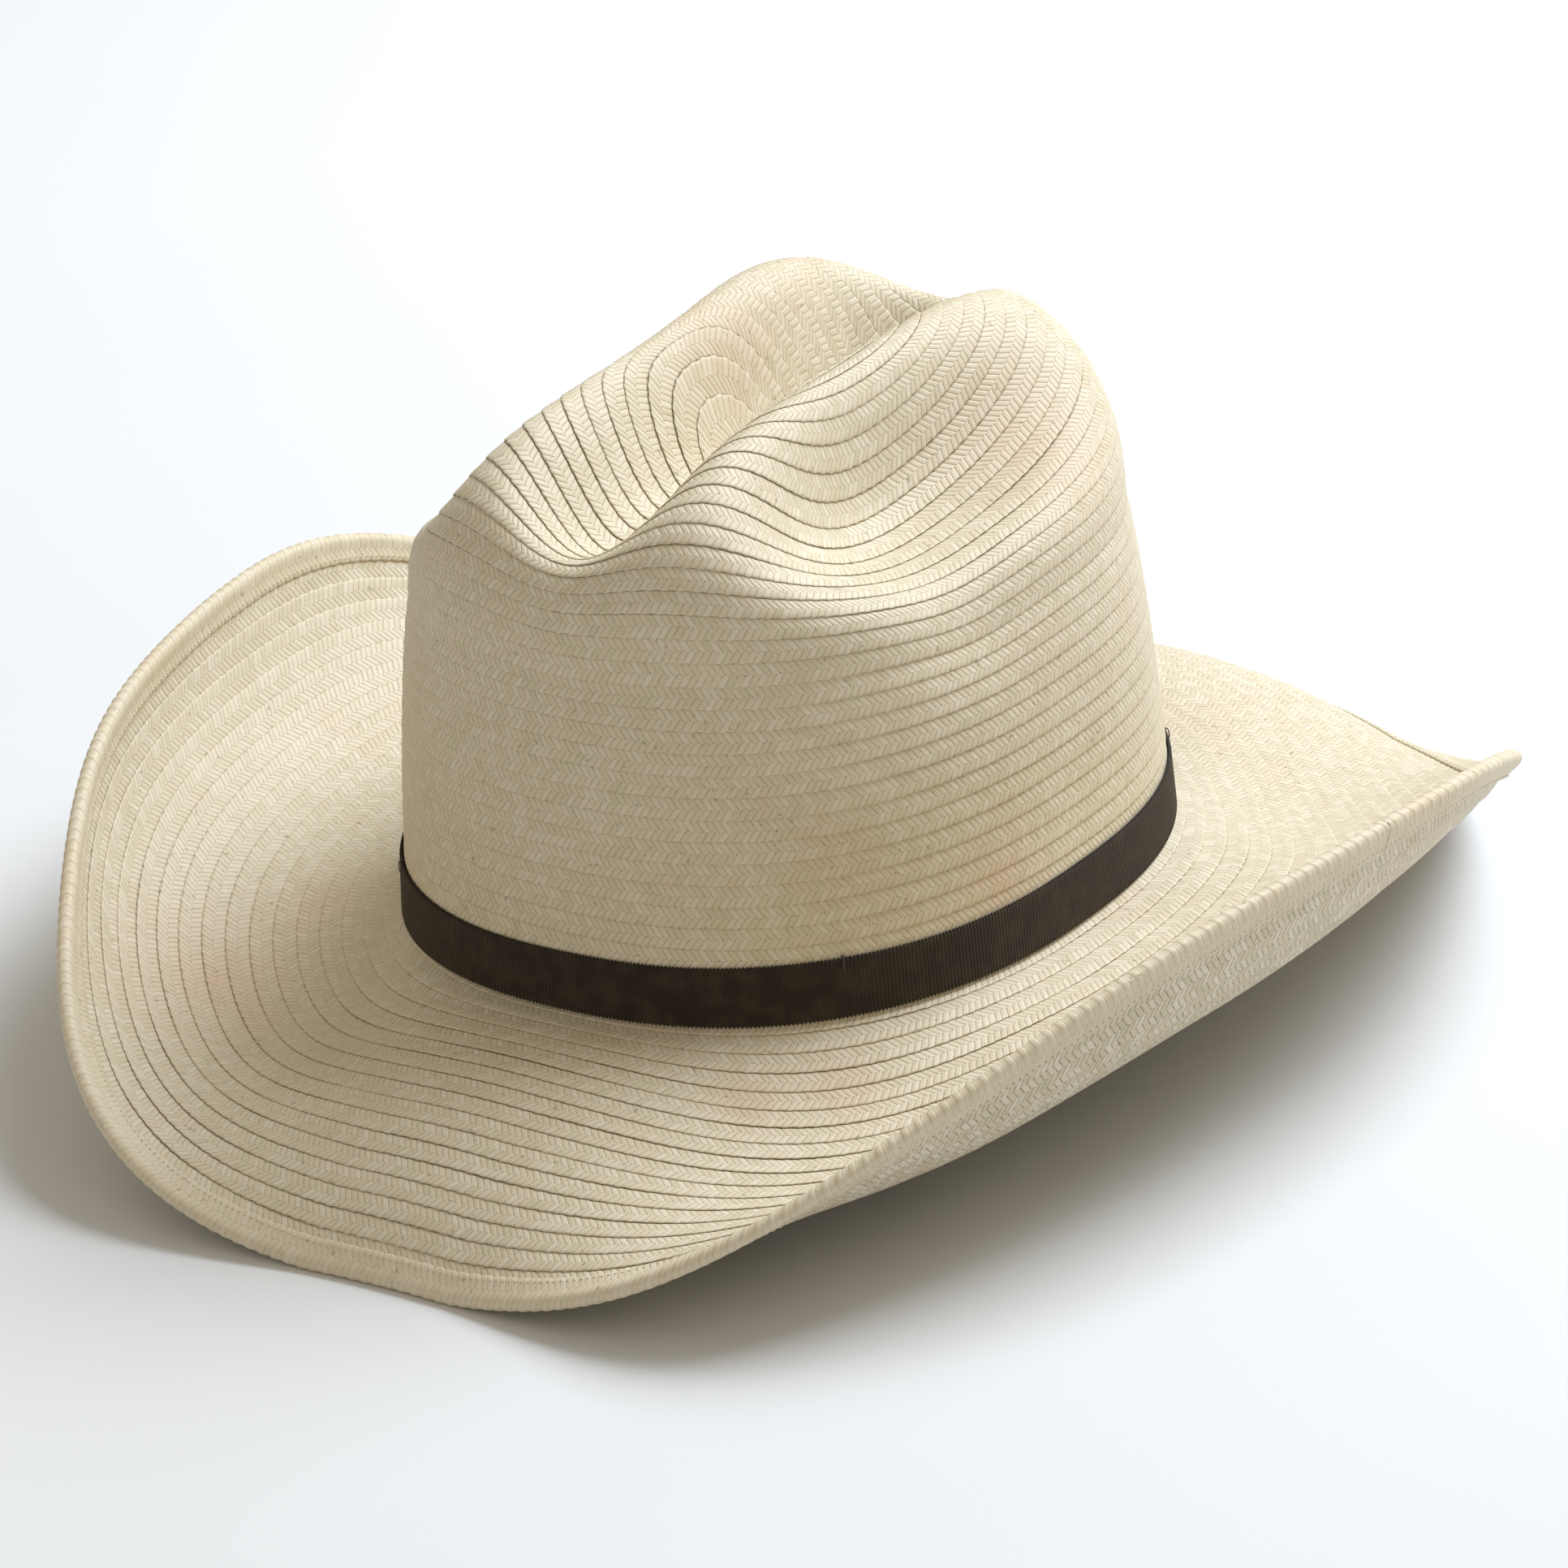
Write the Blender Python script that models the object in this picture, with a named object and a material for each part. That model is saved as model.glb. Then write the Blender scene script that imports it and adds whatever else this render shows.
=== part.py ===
"""Cowboy hat of hand-sewn palm braid with a cattleman crease.

Every piece is modelled in the hat's own frame: the brim line, where the crown meets the brim,
lies in z = 0, the front of the hat points to -Y and the wearer's left is +X.  The empty
"hat_seat" then tips the whole hat so that the brim's low front and back stretches stand on the
world's z = 0.  Distances are in metres, angles in degrees until they are used.
"""

import math

import bmesh
import bpy
import numpy as np

# Crown: a superellipse at the brim line, a tapered wall and a domed top
HEAD_HALF_LENGTH = 0.104
HEAD_HALF_WIDTH = 0.0905
HEAD_SQUARENESS = 2.33
WALL_TAPER = 0.05
WALL_CURVE = 4.5
WALL_TOP = 0.088
CROWN_HEIGHT = 0.150
DOME_SQUARENESS = 3.1
CROWN_THICKNESS = 0.0022

# Centre crease, from the front (-Y) to the back
CREASE_DEPTH = 0.040
CREASE_DEEPENS = 0.012
CREASE_HALF_WIDTH = 0.0177
CREASE_NARROWS = 0.0024
CREASE_FRONT = (-0.110, -0.065)
CREASE_BACK = (0.057, 0.096)
TOP_BOW = 0.003
CREASE_SPAN = 0.090
CREASE_STARTS = (0.063, 0.142)

# Side dents: depth, centre (x, y, z) and reach (x, y, z)
SIDE_DENT = (0.0385, (0.068, -0.0148, 0.1405), (0.0265, 0.065, 0.0275))
FRONT_PINCH = (0.0058, (0.059, -0.0258, 0.101), (0.0485, 0.0229, 0.0243))
DENT_INWARD = 0.62
DENT_DOWN = 0.78

# Brim stations every 22.5 degrees, from the front round to the back: the slope where it leaves
# the crown, the slope at the edge, and the flat width
BRIM_INNER_SLOPE = (-2, -19, -32, -17, -10, -10, -17, 6, 10)
BRIM_EDGE_SLOPE = (-58, -1, 79, 94, 86, 66, 21, -48, -51)
BRIM_WIDTH = (0.0975, 0.1, 0.1035, 0.107, 0.1105, 0.105, 0.089, 0.0915, 0.091)
BRIM_ROLL_POWER = 1.57
BRIM_THICKNESS = 0.0018

# Doubled edge row with its wire
EDGE_ROW_WIDTH = 0.008
EDGE_ROW_WALL = 0.0009
EDGE_ROW_CORNER = 0.001
WIRE_RADIUS = 0.0008
SLEEVE_LENGTH_ANGLE = 5.0

# Hatband
RIBBON_BOTTOM = 0.0008
RIBBON_HEIGHT = 0.0155
RIBBON_THICKNESS = 0.0008
KEEPER_HALF_ANGLE = 3.5
TACK_ANGLES = (45, 135, 225, 315)
TACK_WIDTH = 0.0006
TACK_THICKNESS = 0.0005
TACK_LENGTH = 0.0032

# Sweatband
BAND_BOTTOM = 0.0015
LEATHER_HEIGHT = 0.0385
LEATHER_THICKNESS = 0.0009
TAPE_HEIGHT = 0.010
TAPE_THICKNESS = 0.0004
REED_RADIUS = 0.001
THREAD_RADIUS = 0.00035
STITCH_HEIGHT = 0.005
BOW_THICKNESS = 0.001
TAG_ANGLES = (60, 72)
TAG_HEIGHTS = (0.012, 0.028)
TAG_THICKNESS = 0.0003

GAP = 0.0003
SEAT_PRESS = 0.00025
LEVEL_DEPTH = 0.0009
BRIM_END = EDGE_ROW_WALL + 2.0 * GAP + 2.0 * WIRE_RADIUS
BACK = 90.0

# Fineness of the meshes
AROUND = 56
BRIM_AROUND = 76
WALL_RINGS = 5
TOP_RINGS = 16
BRIM_RINGS = 7
PROFILE_STEPS = 400
SECTION_STEPS = 60
SEAT_ROUNDS = 6


def smooth_step(low, high, value):
    t = np.clip((value - low) / (high - low), 0.0, 1.0)
    return t * t * (3.0 - 2.0 * t)


def signed_power(value, power):
    return np.sign(value) * np.abs(value) ** power


def wall_point(theta, height, offset=0.0):
    """Point on the crown's wall, moved outwards by offset; theta is 0 at +X, 90 at the back."""
    angle = np.radians(theta)
    cos, sin = np.cos(angle), np.sin(angle)
    power = 2.0 / HEAD_SQUARENESS
    x = HEAD_HALF_WIDTH * signed_power(cos, power)
    y = HEAD_HALF_LENGTH * signed_power(sin, power)
    normal_x = signed_power(cos, 2.0 - power) / HEAD_HALF_WIDTH
    normal_y = signed_power(sin, 2.0 - power) / HEAD_HALF_LENGTH
    length = np.hypot(normal_x, normal_y)
    out = offset - WALL_TAPER * height - WALL_CURVE * height**3
    return np.stack([x + normal_x / length * out, y + normal_y / length * out, height + 0 * x], -1)


def dent(points, blank, shape):
    depth, centre, reach = shape
    away = ((np.abs(blank[..., 0]) - centre[0]) / reach[0]) ** 2
    away = away + ((blank[..., 1] - centre[1]) / reach[1]) ** 2
    away = away + ((blank[..., 2] - centre[2]) / reach[2]) ** 2
    push = depth * np.exp(-away)
    points[..., 0] -= np.sign(blank[..., 0]) * push * DENT_INWARD
    points[..., 2] -= push * DENT_DOWN


def crease(blank):
    """Press the centre crease and the side dents into the blank crown."""
    points = blank.copy()
    y = blank[..., 1]
    along = y / CREASE_SPAN
    top = smooth_step(*CREASE_STARTS, blank[..., 2])
    ends = smooth_step(*CREASE_FRONT, y) * (1.0 - smooth_step(*CREASE_BACK, y))
    width = CREASE_HALF_WIDTH - CREASE_NARROWS * along
    depth = (CREASE_DEPTH + CREASE_DEEPENS * along) * ends
    points[..., 2] -= top * TOP_BOW * (1.0 - along**2)
    points[..., 2] -= top * depth * np.exp(-((blank[..., 0] / width) ** 2))
    dent(points, blank, SIDE_DENT)
    dent(points, blank, FRONT_PINCH)
    return points


def crown_profile():
    """The blank's profile from the tip down to the wall: arc length, share of radius, height."""
    turn = np.linspace(90.0, 0.0, PROFILE_STEPS)
    share = np.cos(np.radians(turn)) ** (2.0 / DOME_SQUARENESS)
    share[0] = 0.0
    rise = np.sin(np.radians(turn)) ** (2.0 / DOME_SQUARENESS)
    height = WALL_TOP + (CROWN_HEIGHT - WALL_TOP) * rise
    radius = share * (HEAD_HALF_LENGTH + HEAD_HALF_WIDTH) / 2.0
    step = np.hypot(np.diff(radius), np.diff(height))
    return np.concatenate([[0.0], np.cumsum(step)]), share, height


def crown_point(theta, arc):
    """Point on the creased crown at an arc length from the tip, down to the top of the wall."""
    arcs, shares, heights = crown_profile()
    rim = wall_point(theta, WALL_TOP)
    blank = rim * np.interp(arc, arcs, shares)
    blank[..., 2] = np.interp(arc, arcs, heights)
    return crease(blank)


def brim_station(values, theta):
    """Smooth even curve round the brim through the stations, front first."""
    count = len(values) - 1
    from_front = np.radians(np.asarray(theta) + 90.0)
    weight = [0.5 if i in (0, count) else 1.0 for i in range(count + 1)]
    total = 0.0
    for k in range(count + 1):
        terms = [weight[i] * values[i] * math.cos(math.pi * k * i / count) for i in range(count + 1)]
        total = total + weight[k] * 2.0 / count * sum(terms) * np.cos(k * from_front)
    return total


def section_point(theta, distance, above=0.0):
    """Point at a distance from the crown along the brim's top face, moved along its normal."""
    width = brim_station(BRIM_WIDTH, theta)
    step = distance / SECTION_STEPS
    inner = np.radians(brim_station(BRIM_INNER_SLOPE, theta))
    turn = np.radians(brim_station(BRIM_EDGE_SLOPE, theta)) - inner
    out, up = 0.0, 0.0
    for k in range(SECTION_STEPS):
        slope = inner + turn * ((k + 0.5) * step / width) ** BRIM_ROLL_POWER
        out = out + np.cos(slope) * step
        up = up + np.sin(slope) * step
    slope = inner + turn * (distance / width) ** BRIM_ROLL_POWER
    point = wall_point(theta, 0.0, out - np.sin(slope) * above)
    point[..., 2] = up + np.cos(slope) * above
    return point


def low_corners(theta):
    """The edge row's two lowest corners, before its low stretches are levelled."""
    width = brim_station(BRIM_WIDTH, theta)
    corner = section_point(theta, width - EDGE_ROW_CORNER, -BRIM_THICKNESS - GAP - EDGE_ROW_WALL)
    return np.stack([corner, section_point(theta, width, -BRIM_THICKNESS)])


def tipped_height(points, tip):
    return points[..., 1] * math.sin(tip) + points[..., 2] * math.cos(tip)


def seat():
    """Tip, shift and lift that stand the brim's low front and back on the world's z = 0."""
    theta = np.arange(0.0, 360.0, 0.5)
    low = low_corners(theta).reshape(-1, 3)
    tip = 0.0
    for _ in range(SEAT_ROUNDS):
        height = tipped_height(low, tip)
        front = low[np.argmin(np.where(low[:, 1] < 0.0, height, 1.0))]
        back = low[np.argmin(np.where(low[:, 1] > 0.0, height, 1.0))]
        tip = math.atan2(front[2] - back[2], back[1] - front[1])
    lift = -tipped_height(low, tip).min() - SEAT_PRESS
    width = brim_station(BRIM_WIDTH, theta)
    rim = np.concatenate([section_point(theta, width), section_point(theta, width, -BRIM_THICKNESS)])
    across = rim[:, 1] * math.cos(tip) - rim[:, 2] * math.sin(tip)
    return tip, -(across.min() + across.max()) / 2.0, lift


SEAT_TIP, SEAT_SHIFT, SEAT_LIFT = seat()


def levelling(theta):
    """Drop of the brim's edge that makes its lowest stretches level, and fades out above them."""
    above = tipped_height(low_corners(theta), SEAT_TIP).min(axis=0) + SEAT_LIFT + SEAT_PRESS
    fading = LEVEL_DEPTH * np.exp(-(above - LEVEL_DEPTH) / (3.0 * LEVEL_DEPTH))
    return np.where(above < LEVEL_DEPTH, above, fading)


def brim_point(theta, distance, above=0.0):
    share = distance / brim_station(BRIM_WIDTH, theta)
    point = section_point(theta, distance, above)
    point[..., 2] -= levelling(theta) * share**2
    return point


def edge_point(theta, inset, above):
    """Point at an inset from the brim's outer edge."""
    return brim_point(theta, np.maximum(brim_station(BRIM_WIDTH, theta) - inset, 0.0), above)


def seat_floor(y):
    """Height, in the hat's frame, of the world's z = 0 at y."""
    return -(SEAT_LIFT + y * math.sin(SEAT_TIP)) / math.cos(SEAT_TIP)


def remove_everything():
    for item in list(bpy.data.objects):
        bpy.data.objects.remove(item, do_unlink=True)


def material(name, colour, roughness, metallic=0.0):
    made = bpy.data.materials.new(name)
    made.use_nodes = True
    shader = made.node_tree.nodes["Principled BSDF"]
    shader.inputs["Base Color"].default_value = (*colour, 1.0)
    shader.inputs["Roughness"].default_value = roughness
    shader.inputs["Metallic"].default_value = metallic
    return made


def add_object(name, data, look, parent):
    item = bpy.data.objects.new(name, data)
    bpy.context.scene.collection.objects.link(item)
    data.materials.append(material(name, *look))
    item.parent = parent
    return item


def mesh_object(name, bm, look, parent, sharp_angle=40.0):
    bmesh.ops.recalc_face_normals(bm, faces=bm.faces)
    mesh = bpy.data.meshes.new(name)
    bm.to_mesh(mesh)
    bm.free()
    mesh.shade_smooth()
    mesh.set_sharp_from_angle(angle=math.radians(sharp_angle))
    return add_object(name, mesh, look, parent)


def grid_faces(bm, rows, closed_across):
    """Faces between neighbouring rows of vertices; each row may close on itself."""
    for row, following in zip(rows, rows[1:]):
        count = len(row) if closed_across else len(row) - 1
        for i in range(count):
            j = (i + 1) % len(row)
            bm.faces.new((row[i], row[j], following[j], following[i]))


def vertex_rows(bm, rows):
    return [[bm.verts.new(point) for point in row] for row in rows]


def solidify(item, thickness, offset=-1.0):
    modifier = item.modifiers.new("thickness", "SOLIDIFY")
    modifier.thickness = thickness
    modifier.offset = offset


def around():
    return np.arange(AROUND) * 360.0 / AROUND


def crown_shell(parent):
    theta = around()
    wall_heights = np.linspace(GAP, WALL_TOP, WALL_RINGS, endpoint=False)
    top_arcs = np.linspace(crown_profile()[0][-1], 0.0, TOP_RINGS, endpoint=False)
    rows = [crease(wall_point(theta, height)) for height in wall_heights]
    rows += [crown_point(theta, arc) for arc in top_arcs]
    bm = bmesh.new()
    verts = vertex_rows(bm, rows)
    grid_faces(bm, verts, True)
    tip = bm.verts.new(crown_point(np.array([0.0]), 0.0)[0])
    last = verts[-1]
    for i, vert in enumerate(last):
        bm.faces.new((vert, last[(i + 1) % len(last)], tip))
    item = mesh_object("crown_shell", bm, ((0.74, 0.66, 0.47), 0.75), parent, 80.0)
    solidify(item, CROWN_THICKNESS)


def carry_rings(bm, rings):
    """Closed section carried round the brim; each ring is (inset from the edge, points).

    Quads are split so that the diagonal always joins the point nearer the crown to the next one
    further out, which keeps nested faces parallel where the brim twists.
    """
    rows = vertex_rows(bm, [points for _, points in rings])
    for k, row in enumerate(rows):
        following = rows[(k + 1) % len(rows)]
        outward = rings[(k + 1) % len(rows)][0] < rings[k][0]
        for i in range(len(row)):
            j = (i + 1) % len(row)
            if outward:
                bm.faces.new((row[i], row[j], following[j]))
                bm.faces.new((row[i], following[j], following[i]))
            else:
                bm.faces.new((row[i], row[j], following[i]))
                bm.faces.new((row[j], following[j], following[i]))


def brim_around():
    return np.arange(BRIM_AROUND) * 360.0 / BRIM_AROUND


def brim_face_rings(theta, above):
    """Rings of one face of the brim, from under the crown out to the fold of the edge row."""
    width = brim_station(BRIM_WIDTH, theta)
    under_crown = wall_point(theta, 0.0, -CROWN_THICKNESS) + (0.0, 0.0, above)
    rings = [(width.max() + CROWN_THICKNESS, under_crown)]
    for share in np.linspace(1.0, 0.0, BRIM_RINGS):
        inset = EDGE_ROW_WIDTH + (width - EDGE_ROW_WIDTH) * share
        rings.append((inset.max(), edge_point(theta, inset, above)))
    return rings + [(BRIM_END, edge_point(theta, BRIM_END, above))]


def brim_shell(parent):
    theta = brim_around()
    rings = brim_face_rings(theta, 0.0) + brim_face_rings(theta, -BRIM_THICKNESS)[::-1]
    bm = bmesh.new()
    carry_rings(bm, rings)
    mesh_object("brim_shell", bm, ((0.76, 0.68, 0.49), 0.75), parent, 80.0)


def brim_edge_row(parent):
    """C-shaped section folded over the brim's edge, pressed flat where the hat stands."""
    theta = brim_around()
    inside, outside = GAP, GAP + EDGE_ROW_WALL
    under = -BRIM_THICKNESS
    section = [
        (EDGE_ROW_WIDTH, outside),
        (2.0 * EDGE_ROW_WALL, outside),
        (0.0, 0.0),
        (0.0, under),
        (EDGE_ROW_CORNER, under - outside),
        (EDGE_ROW_WIDTH, under - outside),
        (EDGE_ROW_WIDTH, under - inside),
        (BRIM_END, under - inside),
        (EDGE_ROW_WALL, under - inside),
        (EDGE_ROW_WALL, inside),
        (BRIM_END, inside),
        (EDGE_ROW_WIDTH, inside),
    ]
    rings = [(inset, edge_point(theta, inset, above)) for inset, above in section]
    for _, points in rings:
        points[:, 2] = np.maximum(points[:, 2], seat_floor(points[:, 1]))
    bm = bmesh.new()
    carry_rings(bm, rings)
    mesh_object("brim_edge_row", bm, ((0.78, 0.70, 0.52), 0.75), parent)


def tube(name, points, radius, look, parent, closed, sides=2):
    """Round rod along the points."""
    curve = bpy.data.curves.new(name, "CURVE")
    curve.dimensions = "3D"
    curve.bevel_depth = radius
    curve.bevel_resolution = sides
    curve.use_fill_caps = not closed
    spline = curve.splines.new("POLY")
    spline.points.add(len(points) - 1)
    for target, point in zip(spline.points, points):
        target.co = (*point, 1.0)
    spline.use_cyclic_u = closed
    add_object(name, curve, look, parent)


def brim_wire(parent):
    inset = EDGE_ROW_WALL + GAP + WIRE_RADIUS
    half = SLEEVE_LENGTH_ANGLE / 2.0
    end = half + math.degrees(GAP / HEAD_HALF_LENGTH)
    wire = np.concatenate([[BACK + end], (brim_around() + BACK)[1:], [BACK + 360.0 - end]])
    middle = -BRIM_THICKNESS / 2.0
    steel = ((0.55, 0.55, 0.56), 0.35, 1.0)
    tube("brim_wire", edge_point(wire, inset, middle), WIRE_RADIUS, steel, parent, False, 0)
    sleeve = BACK + np.linspace(-half, half, 3)
    brass = ((0.62, 0.50, 0.27), 0.4, 1.0)
    tube("wire_sleeve", edge_point(sleeve, inset, middle), WIRE_RADIUS, brass, parent, False)


def wall_strip(name, angles, heights, offset, thickness, look, parent, closed):
    """Strip that follows the crown's wall; offset places its outer face."""
    rows = [wall_point(angles, height, offset) for height in heights]
    bm = bmesh.new()
    grid_faces(bm, vertex_rows(bm, rows), closed)
    item = mesh_object(name, bm, look, parent)
    first = item.data.polygons[0]
    outward = first.normal.x * first.center.x + first.normal.y * first.center.y > 0.0
    solidify(item, thickness, -1.0 if outward else 1.0)


def hatband(parent):
    grosgrain = ((0.022, 0.013, 0.009), 0.8)
    top = RIBBON_BOTTOM + RIBBON_HEIGHT
    outer = GAP + RIBBON_THICKNESS
    heights = (RIBBON_BOTTOM, top)
    wall_strip("hatband_ribbon", around(), heights, outer, RIBBON_THICKNESS, grosgrain, parent, True)
    keeper = BACK + np.linspace(-KEEPER_HALF_ANGLE, KEEPER_HALF_ANGLE, 3)
    keeper_face = outer + GAP + RIBBON_THICKNESS
    wall_strip("hatband_keeper", keeper, heights, keeper_face, RIBBON_THICKNESS, grosgrain, parent, False)
    for number, angle in enumerate(TACK_ANGLES, 1):
        hatband_tack(f"hatband_tack_{number}", angle, top, outer, parent)


def hatband_tack(name, angle, ribbon_top, ribbon_face, parent):
    """Thread tack hooked over the ribbon's upper edge."""
    inner, outer = ribbon_face + GAP, ribbon_face + GAP + TACK_THICKNESS
    low, high = ribbon_top + GAP, ribbon_top + GAP + TACK_THICKNESS
    outline = [
        (outer, high - TACK_LENGTH),
        (outer, high),
        (GAP, high),
        (GAP, low),
        (inner, low),
        (inner, high - TACK_LENGTH),
    ]
    centre = wall_point(float(angle), 0.0)
    out = wall_point(float(angle), 0.0, 1.0) - centre
    side = np.array([-out[1], out[0], 0.0]) * TACK_WIDTH / 2.0
    bm = bmesh.new()
    ends = []
    for sign in (-1.0, 1.0):
        points = [wall_point(float(angle), height, offset) + sign * side for offset, height in outline]
        ends.append([bm.verts.new(point) for point in points])
        bm.faces.new(ends[-1])
    grid_faces(bm, ends, True)
    mesh_object(name, bm, ((0.03, 0.02, 0.015), 0.8), parent)


def sweatband(parent):
    theta = around()
    tape_face = -CROWN_THICKNESS - GAP
    tape_heights = (BAND_BOTTOM, BAND_BOTTOM + TAPE_HEIGHT)
    tape_look = ((0.62, 0.58, 0.50), 0.85)
    wall_strip("sweatband_tape", theta, tape_heights, tape_face, TAPE_THICKNESS, tape_look, parent, True)
    face = tape_face - TAPE_THICKNESS - GAP
    heights = np.linspace(BAND_BOTTOM, BAND_BOTTOM + LEATHER_HEIGHT, 3)
    leather = ((0.36, 0.20, 0.10), 0.5)
    wall_strip("sweatband_leather", theta, heights, face, LEATHER_THICKNESS, leather, parent, True)
    reed_height = BAND_BOTTOM - GAP - REED_RADIUS
    reed = wall_point(theta, reed_height, face - LEATHER_THICKNESS / 2.0)
    tube("sweatband_reed", reed, REED_RADIUS, ((0.75, 0.73, 0.68), 0.35), parent, True, 0)
    inner_face = face - LEATHER_THICKNESS
    seam = wall_point(theta, STITCH_HEIGHT, inner_face - GAP - THREAD_RADIUS)
    tube("sweatband_stitch", seam, THREAD_RADIUS, ((0.70, 0.62, 0.45), 0.7), parent, True, 0)
    tag_angles = np.linspace(*TAG_ANGLES, 4)
    tag_look = ((0.82, 0.80, 0.74), 0.8)
    tag_face = inner_face - GAP
    wall_strip("size_tag", tag_angles, TAG_HEIGHTS, tag_face, TAG_THICKNESS, tag_look, parent, False)
    sweatband_bow(parent, inner_face - 2.0 * GAP)


def sweatband_bow(parent, face):
    """Small flat bow: half outline from the knot to the tip of a loop, mirrored."""
    half = [(0.0, 0.0016), (0.0014, 0.0013), (0.005, 0.0036), (0.009, 0.0022), (0.009, -0.0022),
            (0.005, -0.0036), (0.0014, -0.0013), (0.0, -0.0016)]
    mirrored = [(-x, z) for x, z in reversed(half) if x > 0.0]
    outline = half + mirrored
    middle = STITCH_HEIGHT + 0.006
    back = wall_point(BACK, middle, face)[1]
    bm = bmesh.new()
    verts = [bm.verts.new((x, back, middle + z)) for x, z in outline]
    base = bm.faces.new(verts)
    grown = bmesh.ops.extrude_face_region(bm, geom=[base])["geom"]
    moved = [item for item in grown if isinstance(item, bmesh.types.BMVert)]
    bmesh.ops.translate(bm, vec=(0.0, -BOW_THICKNESS, 0.0), verts=moved)
    mesh_object("sweatband_bow", bm, ((0.05, 0.035, 0.03), 0.5), parent)


def main():
    remove_everything()
    hat_seat = bpy.data.objects.new("hat_seat", None)
    bpy.context.scene.collection.objects.link(hat_seat)
    hat_seat.location = (0.0, SEAT_SHIFT, SEAT_LIFT)
    hat_seat.rotation_euler = (SEAT_TIP, 0.0, 0.0)
    crown_shell(hat_seat)
    brim_shell(hat_seat)
    brim_edge_row(hat_seat)
    brim_wire(hat_seat)
    hatband(hat_seat)
    sweatband(hat_seat)


main()
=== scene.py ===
"""Looks of the cowboy hat: palm braid, grosgrain hatband and leather sweatband over the CAD frame.

The braid is real geometry.  One strip spirals from the crown's tip over the wall and out across
the brim; each turn lies on top of the next one like a shingle, and a second strip does the same
on the inside and the underside.  Points are worked out in the hat's own frame (brim line in
z = 0, front towards -Y, wearer's left +X) and then seated as the CAD model is.  Metres, and
angles in degrees until they are used.
"""

import math

import bpy
import numpy as np
from mathutils import Matrix, Vector


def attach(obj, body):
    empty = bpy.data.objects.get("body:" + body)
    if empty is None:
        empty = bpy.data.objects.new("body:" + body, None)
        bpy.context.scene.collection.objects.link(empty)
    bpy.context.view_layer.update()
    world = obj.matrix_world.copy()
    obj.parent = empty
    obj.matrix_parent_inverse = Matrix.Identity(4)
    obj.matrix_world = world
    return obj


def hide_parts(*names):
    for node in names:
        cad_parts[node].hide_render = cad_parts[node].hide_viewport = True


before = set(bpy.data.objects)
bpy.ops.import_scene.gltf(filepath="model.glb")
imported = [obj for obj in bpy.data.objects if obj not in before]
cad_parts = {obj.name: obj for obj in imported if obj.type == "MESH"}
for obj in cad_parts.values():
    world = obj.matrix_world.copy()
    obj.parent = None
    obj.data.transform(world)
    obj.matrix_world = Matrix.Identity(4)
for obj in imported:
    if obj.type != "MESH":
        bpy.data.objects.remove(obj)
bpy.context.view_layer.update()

# ---------------------------------------------------------------- the CAD model's dimensions

# Crown: a superellipse at the brim line, a tapered wall and a domed top
HEAD_HALF_LENGTH = 0.104
HEAD_HALF_WIDTH = 0.0905
HEAD_SQUARENESS = 2.33
WALL_TAPER = 0.05
WALL_CURVE = 4.5
WALL_TOP = 0.088
CROWN_HEIGHT = 0.150
DOME_SQUARENESS = 3.1
CROWN_THICKNESS = 0.0022

# Centre crease, from the front (-Y) to the back
CREASE_DEPTH = 0.040
CREASE_DEEPENS = 0.012
CREASE_HALF_WIDTH = 0.0177
CREASE_NARROWS = 0.0024
CREASE_FRONT = (-0.110, -0.065)
CREASE_BACK = (0.057, 0.096)
TOP_BOW = 0.003
CREASE_SPAN = 0.090
CREASE_STARTS = (0.063, 0.142)

# Side dents: depth, centre (x, y, z) and reach (x, y, z)
SIDE_DENT = (0.0385, (0.068, -0.0148, 0.1405), (0.0265, 0.065, 0.0275))
FRONT_PINCH = (0.0058, (0.059, -0.0258, 0.101), (0.0485, 0.0229, 0.0243))
DENT_INWARD = 0.62
DENT_DOWN = 0.78

# Brim stations every 22.5 degrees, from the front round to the back: the slope where it leaves
# the crown, the slope at the edge, and the flat width
BRIM_INNER_SLOPE = (-2, -19, -32, -17, -10, -10, -17, 6, 10)
BRIM_EDGE_SLOPE = (-58, -1, 79, 94, 86, 66, 21, -48, -51)
BRIM_WIDTH = (0.0975, 0.1, 0.1035, 0.107, 0.1105, 0.105, 0.089, 0.0915, 0.091)
BRIM_ROLL_POWER = 1.57
BRIM_THICKNESS = 0.0018
EDGE_ROW_WIDTH = 0.008
EDGE_ROW_WALL = 0.0009
EDGE_ROW_CORNER = 0.001

RIBBON_BOTTOM = 0.0008
RIBBON_HEIGHT = 0.0155
RIBBON_THICKNESS = 0.0008
KEEPER_HALF_ANGLE = 3.5
TACK_ANGLES = (45, 135, 225, 315)

BAND_BOTTOM = 0.0015
LEATHER_HEIGHT = 0.0385
LEATHER_THICKNESS = 0.0009
TAPE_THICKNESS = 0.0004
REED_RADIUS = 0.001
STITCH_HEIGHT = 0.005

GAP = 0.0003
SEAT_PRESS = 0.00025
LEVEL_DEPTH = 0.0009
BACK = 90.0

# Fineness of the shapes that are worked out step by step
SECTION_STEPS = 60
PROFILE_STEPS = 400
CIRCLE_STEPS = 1441
SEAT_ROUNDS = 6

# ---------------------------------------------------------------- the braid

# Rows of braid over the domed top, down the wall and out across the brim
TOP_ROWS = 21.0
WALL_ROWS = 15.5
BRIM_ROWS = 16.0
CROWN_ROWS = TOP_ROWS + WALL_ROWS
ALL_ROWS = CROWN_ROWS + BRIM_ROWS
UNDER_EDGE_ROW = 0.0015
TIP_ROW = 0.05
STRIP_TIP_ROW = 0.3
STEPS_PER_TURN = 240.0

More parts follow.
